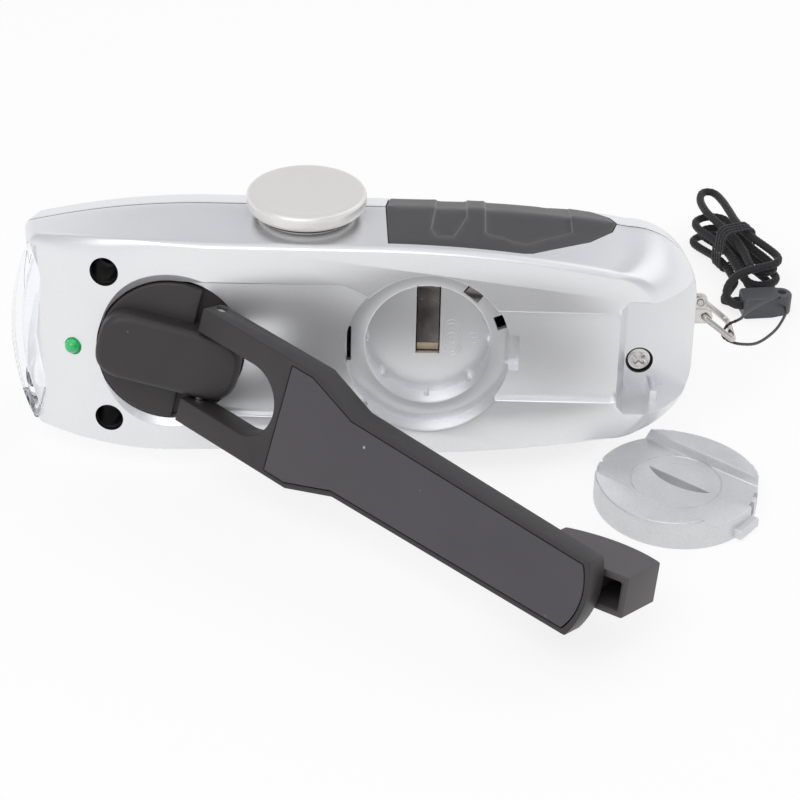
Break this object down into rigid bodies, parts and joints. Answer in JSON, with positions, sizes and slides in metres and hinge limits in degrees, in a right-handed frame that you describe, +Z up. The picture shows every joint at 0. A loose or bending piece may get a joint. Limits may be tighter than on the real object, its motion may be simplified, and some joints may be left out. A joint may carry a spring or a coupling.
{
  "type": "hand-crank flashlight",
  "caption": "Hand-crank flashlight on its side with a folding crank arm, geared generator, removable battery cover, coin cell and wrist lanyard.",
  "frame": {"origin": "on the floor, at the middle of the flat strip of the switch-side wall that the flashlight stands on", "axes": "+X along the body towards the tail, +Y away from the crank face, +Z up"},
  "size_m": [0.172, 0.1783, 0.0555],
  "materials": {
    "silver_shell": "satin silver paint on moulded plastic",
    "grip_rubber": "matte dark grey rubber",
    "clear_lens": "clear polished plastic",
    "mirror_coat": "metallised",
    "led_resin": "clear epoxy",
    "green_led": "tinted epoxy",
    "board": "solder mask",
    "dark_resin": "moulded",
    "white_resin": "natural acetal",
    "bush_brass": "sintered",
    "core_steel": "ground",
    "coil_copper": "enamelled copper wire",
    "nickel": "nickel plated",
    "chrome_wire": "bright plated",
    "black_plastic": "satin charcoal plastic",
    "cell_steel": "satin stainless",
    "black_cord": "braided",
    "grey_plastic": "moulded"
  },
  "bodies": {
    "housing": {"bottom_shell": "silver_shell", "top_shell": "silver_shell", "upper_grip": "grip_rubber", "lower_grip": "grip_rubber", "front_lens": "clear_lens", "reflector": "mirror_coat", "main_leds": "led_resin", "led_board": "board", "charge_led": "green_led", "case_screws": "nickel", "circuit_board": "board", "board_parts": "dark_resin", "switch_body": "dark_resin", "shaft_bush": "bush_brass", "gear_plate": "white_resin", "gear_axles": "nickel", "stator_core": "core_steel", "stator_coil": "coil_copper", "cell_leaf": "nickel", "cell_tab": "nickel", "lanyard_lugs": "chrome_wire", "lanyard_string": "black_cord", "lanyard_connector": "grey_plastic", "wrist_cord": "black_cord", "cord_tie": "black_cord"},
    "crank": {"crank_hub": "black_plastic", "crank_shaft": "nickel", "drive_gear": "white_resin", "shaft_clip": "nickel", "fold_pin": "nickel"},
    "arm": {"crank_arm": "black_plastic", "arm_plate": "black_plastic", "knob_pin": "nickel"},
    "knob": {"crank_knob": "black_plastic"},
    "gear_one": {"first_gear": "white_resin"},
    "gear_two": {"second_gear": "white_resin"},
    "rotor": {"rotor_pinion": "white_resin", "rotor_magnet": "core_steel"},
    "button": {"switch_button": "grip_rubber"},
    "bail": {"lanyard_bail": "chrome_wire"},
    "cover": {"battery_cover": "silver_shell"},
    "cell": {"cell_can": "cell_steel", "cell_gasket": "dark_resin", "cell_cap": "cell_steel"}
  },
  "joints": [
    {"name": "crank_spin", "type": "hinge", "parent": "housing", "child": "crank", "pos_m": [-0.0325, -0.01422, 0.0266], "axis": [0, -0.989, 0.1478], "continuous": true},
    {"name": "arm_fold", "type": "hinge", "parent": "crank", "child": "arm", "pos_m": [-0.02474, -0.02035, 0.02553], "axis": [-0.2453, -0.1433, -0.9588], "range_deg": [-10, 105]},
    {"name": "knob_spin", "type": "hinge", "parent": "arm", "child": "knob", "pos_m": [0.04628, -0.07722, 0.01585], "axis": [-0.5807, -0.7702, 0.2637], "continuous": true},
    {"name": "gear_one_spin", "type": "hinge", "parent": "housing", "child": "gear_one", "pos_m": [-0.01347, -0.00133, 0.03167], "axis": [0, -0.989, 0.1478], "continuous": true},
    {"name": "gear_two_spin", "type": "hinge", "parent": "housing", "child": "gear_two", "pos_m": [-0.00202, 0.00093, 0.01975], "axis": [0, -0.989, 0.1478], "continuous": true},
    {"name": "rotor_spin", "type": "hinge", "parent": "housing", "child": "rotor", "pos_m": [0.01128, 0.00721, 0.02118], "axis": [0, -0.989, 0.1478], "continuous": true},
    {"name": "button_press", "type": "slide", "parent": "housing", "child": "button", "axis": [0, -0.989, 0.1478], "range_m": [0, 0.0012], "stiffness_N_per_m": 800, "springref_m": -0.0006},
    {"name": "bail_swing", "type": "hinge", "parent": "housing", "child": "bail", "pos_m": [0.078, 0.00315, 0.02784], "axis": [0, -0.989, 0.1478], "range_deg": [-5, 5]},
    {"name": "cover_lift", "type": "slide", "parent": "housing", "child": "cover", "axis": [0.48, -0.64, 0.6], "range_m": [0, 0.03]},
    {"name": "cell_lift", "type": "slide", "parent": "housing", "child": "cell", "axis": [0, 0, 1], "range_m": [0, 0.03]}
  ],
  "couplings": [
    {"joint": "gear_one_spin", "follows": "crank_spin", "ratio": -3.5},
    {"joint": "gear_two_spin", "follows": "crank_spin", "ratio": 12.25},
    {"joint": "rotor_spin", "follows": "crank_spin", "ratio": -42.875}
  ]
}
